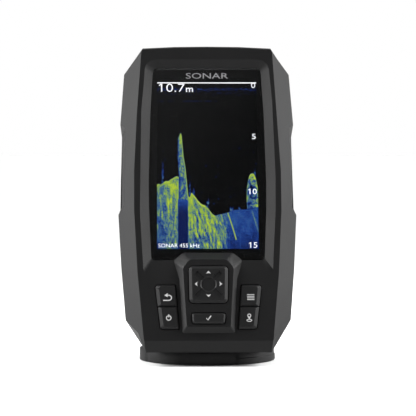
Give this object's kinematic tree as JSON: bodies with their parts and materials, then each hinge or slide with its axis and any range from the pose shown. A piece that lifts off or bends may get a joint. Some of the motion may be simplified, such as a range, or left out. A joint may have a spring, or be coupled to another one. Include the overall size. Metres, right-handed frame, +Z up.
{
  "type": "fish finder",
  "caption": "Handheld-sized sonar display with a portrait screen, arrow pad and side keys, sliding off a latched cradle on a tilt and swivel deck mount.",
  "frame": {"origin": "centre of the base's underside, on the swivel axis", "axes": "+Z up, -Y out of the front of the display, +X to the right seen from the front"},
  "size_m": [0.0954, 0.098, 0.1689],
  "materials": {
    "housing": "fine moulded texture, charcoal",
    "keys": "satin moulded keys, charcoal",
    "mount_plastic": "moulded mount plastic, charcoal",
    "lens": "clear hard-coated lens over a dark display",
    "black_tape": "black adhesive and small black parts",
    "display": "display glass",
    "backlight": "white light guide",
    "steel": "stainless",
    "brass": "plated contacts",
    "board": "green circuit board",
    "flex": "amber flex circuit",
    "rubber": "black silicone",
    "ceramic": "antenna ceramic"
  },
  "bodies": {
    "base": {"base_disc": "mount_plastic"},
    "turntable": {"swivel_turntable": "mount_plastic", "swivel_washer": "steel", "swivel_screw": "steel", "tilt_bolt": "steel", "tilt_washer_left": "steel", "tilt_washer_right": "steel"},
    "knob": {"tilt_knob": "rubber"},
    "cradle": {"tilt_cradle": "mount_plastic", "latch_pin": "steel", "latch_spring": "steel"},
    "latch": {"release_latch": "mount_plastic"},
    "head": {"front_cover": "housing", "rear_cover": "housing", "connector_socket": "housing", "display_lens": "lens", "lens_adhesive": "black_tape", "beeper": "black_tape", "vent_membrane": "black_tape", "lcd_panel": "display", "lcd_backlight": "backlight", "display_bracket": "steel", "processor_shield": "steel", "connector_nut": "steel", "case_screw_1": "steel", "case_screw_2": "steel", "case_screw_3": "steel", "case_screw_4": "steel", "board_screw_1": "steel", "board_screw_2": "steel", "board_screw_3": "steel", "board_screw_4": "steel", "connector_insert": "brass", "main_board": "board", "keypad_board": "board", "display_flex": "flex", "keypad_flex": "flex", "keypad_membrane": "rubber", "cover_gasket": "rubber", "connector_seal": "rubber", "gps_antenna": "ceramic"},
    "pad_pivot": {"arrow_pad_pivot": "steel"},
    "pad": {"arrow_pad": "keys"},
    "back_button": {"back_key": "keys"},
    "power_button": {"power_key": "keys"},
    "menu_button": {"menu_key": "keys"},
    "mark_button": {"mark_key": "keys"},
    "select_button": {"select_key": "keys"}
  },
  "joints": [
    {"name": "swivel", "type": "hinge", "parent": "base", "child": "turntable", "pos_m": [0, 0, 0], "axis": [0, 0, 1], "continuous": true},
    {"name": "tilt", "type": "hinge", "parent": "turntable", "child": "cradle", "pos_m": [0, 0.0223, 0.02], "axis": [1, 0, 0], "range_deg": [-40, 0]},
    {"name": "tilt_knob_turn", "type": "hinge", "parent": "turntable", "child": "knob", "pos_m": [0, 0.0223, 0.02], "axis": [1, 0, 0], "continuous": true},
    {"name": "unit_release", "type": "slide", "parent": "cradle", "child": "head", "axis": [0, 0.3628, 0.9319], "range_m": [0, 0.034]},
    {"name": "latch_press", "type": "hinge", "parent": "cradle", "child": "latch", "pos_m": [0, 0.02692, 0.04499], "axis": [1, 0, 0], "range_deg": [0, 10], "stiffness_Nm_per_rad": 0.06, "springref_deg": -11.46},
    {"name": "pad_up_down", "type": "hinge", "parent": "head", "child": "pad_pivot", "pos_m": [0, -0.02785, 0.03991], "axis": [1, 0, 0], "range_deg": [-1.7, 1.7], "stiffness_Nm_per_rad": 0.04},
    {"name": "pad_left_right", "type": "hinge", "parent": "pad_pivot", "child": "pad", "pos_m": [0, -0.02785, 0.03991], "axis": [0, 0.3628, 0.9319], "range_deg": [-1.7, 1.7], "stiffness_Nm_per_rad": 0.04},
    {"name": "back_press", "type": "slide", "parent": "head", "child": "back_button", "axis": [0, 0.9319, -0.3628], "range_m": [0, 0.0006], "stiffness_N_per_m": 400, "springref_m": -0.001},
    {"name": "power_press", "type": "slide", "parent": "head", "child": "power_button", "axis": [0, 0.9319, -0.3628], "range_m": [0, 0.0006], "stiffness_N_per_m": 400, "springref_m": -0.001},
    {"name": "menu_press", "type": "slide", "parent": "head", "child": "menu_button", "axis": [0, 0.9319, -0.3628], "range_m": [0, 0.0006], "stiffness_N_per_m": 400, "springref_m": -0.001},
    {"name": "mark_press", "type": "slide", "parent": "head", "child": "mark_button", "axis": [0, 0.9319, -0.3628], "range_m": [0, 0.0006], "stiffness_N_per_m": 400, "springref_m": -0.001},
    {"name": "select_press", "type": "slide", "parent": "head", "child": "select_button", "axis": [0, 0.9319, -0.3628], "range_m": [0, 0.0006], "stiffness_N_per_m": 400, "springref_m": -0.001}
  ]
}
